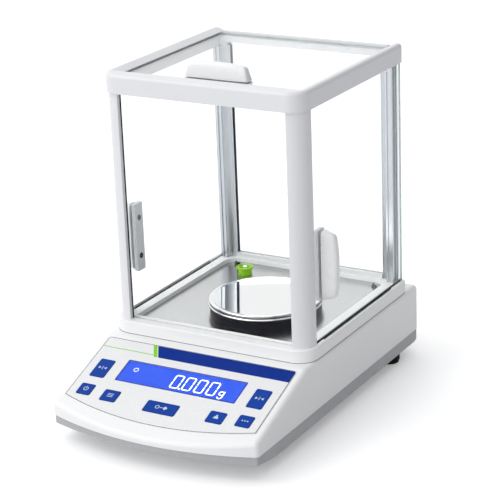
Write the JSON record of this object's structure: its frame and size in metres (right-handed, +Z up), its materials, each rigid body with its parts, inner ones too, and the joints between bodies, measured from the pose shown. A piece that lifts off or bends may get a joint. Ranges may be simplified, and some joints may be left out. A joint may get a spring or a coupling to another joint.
{
  "type": "analytical balance",
  "caption": "Top-loading laboratory balance with a sloped key panel, blue display, mirror pan and a glass draft shield whose side and top doors slide back.",
  "frame": {"origin": "under the middle of the housing, on the surface that the feet stand on", "axes": "+X to the balance's right as its user sees it, +Y from the control panel to the back, +Z up"},
  "size_m": [0.2336, 0.351, 0.3328],
  "materials": {
    "white_shell": "satin moulded plastic",
    "white_frame": "satin moulded plastic",
    "white_handle": "satin moulded plastic",
    "grey_shell": "fine grained moulded plastic",
    "overlay_film": "printed polyester film",
    "clear_window": "clear gloss window",
    "blue_lcd": "backlit blue display",
    "blue_key": "satin printed key",
    "black_plastic": "matt moulded plastic",
    "black_seal": "extruded seal",
    "brushed_floor": "long-grain brushed",
    "mirror_steel": "mirror polished",
    "screw_steel": "zinc plated",
    "anodised_post": "satin anodised extrusion",
    "machined_aluminium": "machined",
    "magnet_iron": "dull nickel plated",
    "coil_brass": "enamelled copper winding",
    "float_glass": "clear float glass with polished edges",
    "green_vial": "translucent green bubble level",
    "grey_clamp": "moulded plastic",
    "foot_rubber": "moulded rubber",
    "circuit_board": "solder mask",
    "port_metal": "stamped plated shell"
  },
  "bodies": {
    "housing": {"bottom_shell": "grey_shell", "top_housing": "white_shell", "chamber_base": "white_shell", "keypad_overlay": "overlay_film", "display_window": "clear_window", "lcd_module": "blue_lcd", "keypad_board": "circuit_board", "key_switches": "black_plastic", "main_board": "circuit_board", "chamber_floor": "brushed_floor", "floor_screws": "screw_steel", "draft_ring": "black_plastic", "level_housing": "black_plastic", "level_vial": "green_vial", "front_left_post": "white_frame", "front_right_post": "white_frame", "rear_left_post": "anodised_post", "rear_right_post": "anodised_post", "top_frame": "white_frame", "front_glass": "float_glass", "rear_glass": "float_glass", "front_glass_seals": "black_seal", "rear_glass_seals": "black_seal", "rear_sill": "white_frame", "left_track": "black_plastic", "right_track": "black_plastic", "track_end_caps": "white_shell", "load_column": "screw_steel", "cell_base": "machined_aluminium", "magnet_pot": "magnet_iron", "cell_lever": "machined_aluminium", "voice_coil": "coil_brass", "front_feet": "foot_rubber", "power_socket": "black_plastic", "serial_port": "port_metal", "shell_screws": "screw_steel"},
    "left_door": {"left_door_glass": "float_glass", "left_door_handle": "white_handle", "left_door_clamp": "grey_clamp", "left_door_screws": "screw_steel"},
    "right_door": {"right_door_glass": "float_glass", "right_door_handle": "white_handle", "right_door_clamp": "grey_clamp", "right_door_screws": "screw_steel"},
    "top_door": {"top_door_glass": "float_glass", "top_door_handle": "white_handle", "top_door_edge_strip": "white_frame"},
    "pan_support": {"pan_carrier": "machined_aluminium"},
    "pan": {"weighing_pan": "mirror_steel"},
    "key_tare_left_body": {"key_tare_left": "blue_key"},
    "key_power_body": {"key_power": "blue_key"},
    "key_function_body": {"key_function": "blue_key"},
    "key_unit_body": {"key_unit": "blue_key"},
    "key_calibrate_body": {"key_calibrate": "blue_key"},
    "key_count_body": {"key_count": "blue_key"},
    "key_tare_right_body": {"key_tare_right": "blue_key"},
    "left_foot": {"left_foot_pad": "foot_rubber"},
    "left_foot_thread": {"left_foot_screw": "black_plastic"},
    "right_foot": {"right_foot_pad": "foot_rubber"},
    "right_foot_thread": {"right_foot_screw": "black_plastic"}
  },
  "joints": [
    {"name": "left_door_slide", "type": "slide", "parent": "housing", "child": "left_door", "axis": [0, 1, 0], "range_m": [0, 0.144]},
    {"name": "right_door_slide", "type": "slide", "parent": "housing", "child": "right_door", "axis": [0, 1, 0], "range_m": [0, 0.144]},
    {"name": "top_door_slide", "type": "slide", "parent": "housing", "child": "top_door", "axis": [0, 1, 0], "range_m": [0, 0.144]},
    {"name": "pan_support_lift", "type": "slide", "parent": "housing", "child": "pan_support", "axis": [0, 0, 1], "range_m": [0, 0.06]},
    {"name": "pan_lift", "type": "slide", "parent": "pan_support", "child": "pan", "axis": [0, 0, 1], "range_m": [0, 0.06]},
    {"name": "key_tare_left_press", "type": "slide", "parent": "housing", "child": "key_tare_left_body", "axis": [0, 0.3387, -0.9409], "range_m": [0, 0.0005], "stiffness_N_per_m": 1500, "springref_m": -0.0008},
    {"name": "key_power_press", "type": "slide", "parent": "housing", "child": "key_power_body", "axis": [0, 0.3387, -0.9409], "range_m": [0, 0.0005], "stiffness_N_per_m": 1500, "springref_m": -0.0008},
    {"name": "key_function_press", "type": "slide", "parent": "housing", "child": "key_function_body", "axis": [0, 0.3387, -0.9409], "range_m": [0, 0.0005], "stiffness_N_per_m": 1500, "springref_m": -0.0008},
    {"name": "key_unit_press", "type": "slide", "parent": "housing", "child": "key_unit_body", "axis": [0, 0.3387, -0.9409], "range_m": [0, 0.0005], "stiffness_N_per_m": 1500, "springref_m": -0.0008},
    {"name": "key_calibrate_press", "type": "slide", "parent": "housing", "child": "key_calibrate_body", "axis": [0, 0.3387, -0.9409], "range_m": [0, 0.0005], "stiffness_N_per_m": 1500, "springref_m": -0.0008},
    {"name": "key_count_press", "type": "slide", "parent": "housing", "child": "key_count_body", "axis": [0, 0.3387, -0.9409], "range_m": [0, 0.0005], "stiffness_N_per_m": 1500, "springref_m": -0.0008},
    {"name": "key_tare_right_press", "type": "slide", "parent": "housing", "child": "key_tare_right_body", "axis": [0, 0.3387, -0.9409], "range_m": [0, 0.0005], "stiffness_N_per_m": 1500, "springref_m": -0.0008},
    {"name": "left_foot_travel", "type": "slide", "parent": "housing", "child": "left_foot", "axis": [0, 0, 1], "range_m": [-0.004, 0]},
    {"name": "left_foot_turn", "type": "hinge", "parent": "left_foot", "child": "left_foot_thread", "pos_m": [-0.092, 0.138, 0.006], "axis": [0, 0, 1], "range_deg": [-1440, 0]},
    {"name": "right_foot_travel", "type": "slide", "parent": "housing", "child": "right_foot", "axis": [0, 0, 1], "range_m": [-0.004, 0]},
    {"name": "right_foot_turn", "type": "hinge", "parent": "right_foot", "child": "right_foot_thread", "pos_m": [0.092, 0.138, 0.006], "axis": [0, 0, 1], "range_deg": [-1440, 0]}
  ],
  "couplings": [
    {"joint": "left_foot_travel", "follows": "left_foot_turn", "m_per_rad": 0.00015915},
    {"joint": "right_foot_travel", "follows": "right_foot_turn", "m_per_rad": 0.00015915}
  ]
}
